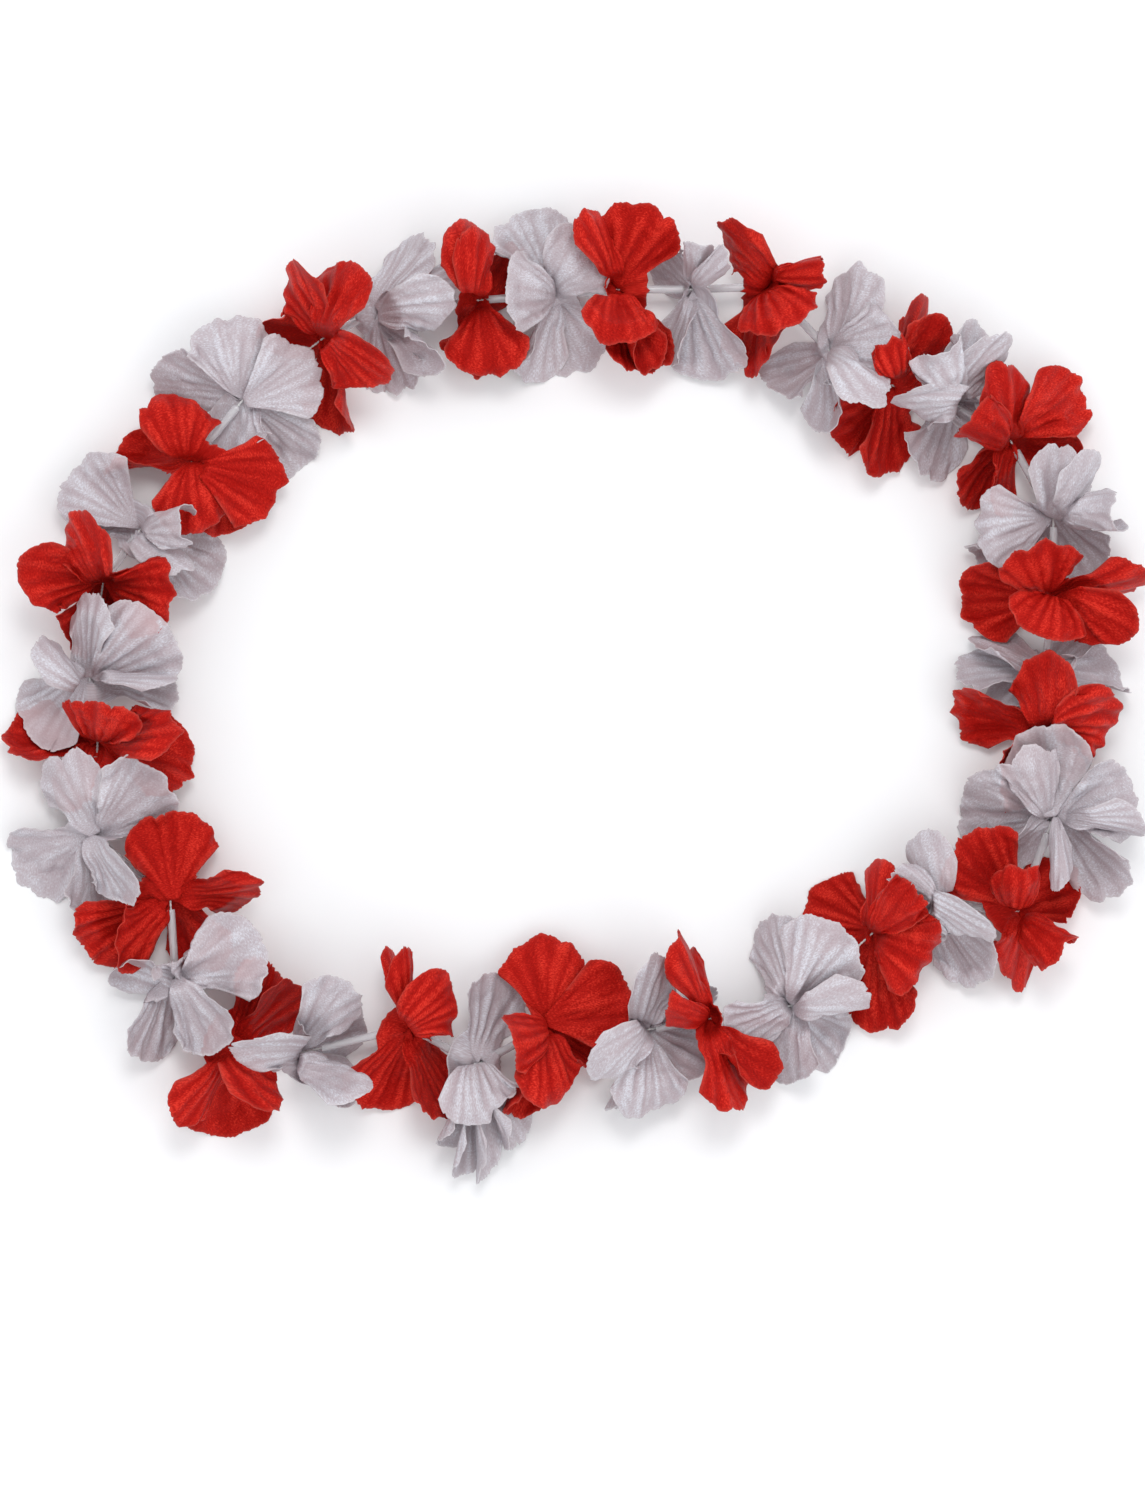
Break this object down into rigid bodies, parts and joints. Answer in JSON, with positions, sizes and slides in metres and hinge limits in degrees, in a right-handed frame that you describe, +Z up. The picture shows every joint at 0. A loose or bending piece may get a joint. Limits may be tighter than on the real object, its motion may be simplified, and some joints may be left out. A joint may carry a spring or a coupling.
{
  "type": "artificial flower lei",
  "caption": "Party lei of die-cut satin blooms, red and white by turns, on a looped thread with clear plastic spacer tubes, lying on a surface.",
  "frame": {"origin": "centre of the lei's bounding box, on the surface it lies on", "axes": "+Z up from the surface, +X along the loop's longer way, +Y the way that is up the page when seen from above"},
  "size_m": [0.4222, 0.3622, 0.0527],
  "materials": {
    "red_satin": "satin weave with embossed pleats",
    "white_satin": "satin weave with embossed pleats",
    "clear_plastic": "clear and glossy"
  },
  "bodies": {
    "root": {"bloom_01_white": "white_satin", "bloom_02_red": "red_satin", "bloom_03_white": "white_satin", "bloom_04_red": "red_satin", "bloom_05_white": "white_satin", "bloom_06_red": "red_satin", "bloom_07_white": "white_satin", "bloom_08_red": "red_satin", "bloom_09_white": "white_satin", "bloom_10_red": "red_satin", "bloom_11_white": "white_satin", "bloom_12_red": "red_satin", "bloom_13_white": "white_satin", "bloom_14_red": "red_satin", "bloom_15_white": "white_satin", "bloom_16_red": "red_satin", "bloom_17_white": "white_satin", "bloom_18_red": "red_satin", "bloom_19_white": "white_satin", "bloom_20_red": "red_satin", "bloom_21_white": "white_satin", "bloom_22_red": "red_satin", "bloom_23_white": "white_satin", "bloom_24_red": "red_satin", "bloom_25_white": "white_satin", "bloom_26_red": "red_satin", "bloom_27_white": "white_satin", "bloom_28_red": "red_satin", "bloom_29_white": "white_satin", "bloom_30_red": "red_satin", "bloom_31_white": "white_satin", "bloom_32_red": "red_satin", "bloom_33_white": "white_satin", "bloom_34_red": "red_satin", "bloom_35_white": "white_satin", "bloom_36_red": "red_satin", "thread_with_tubes": "clear_plastic"}
  },
  "joints": []
}
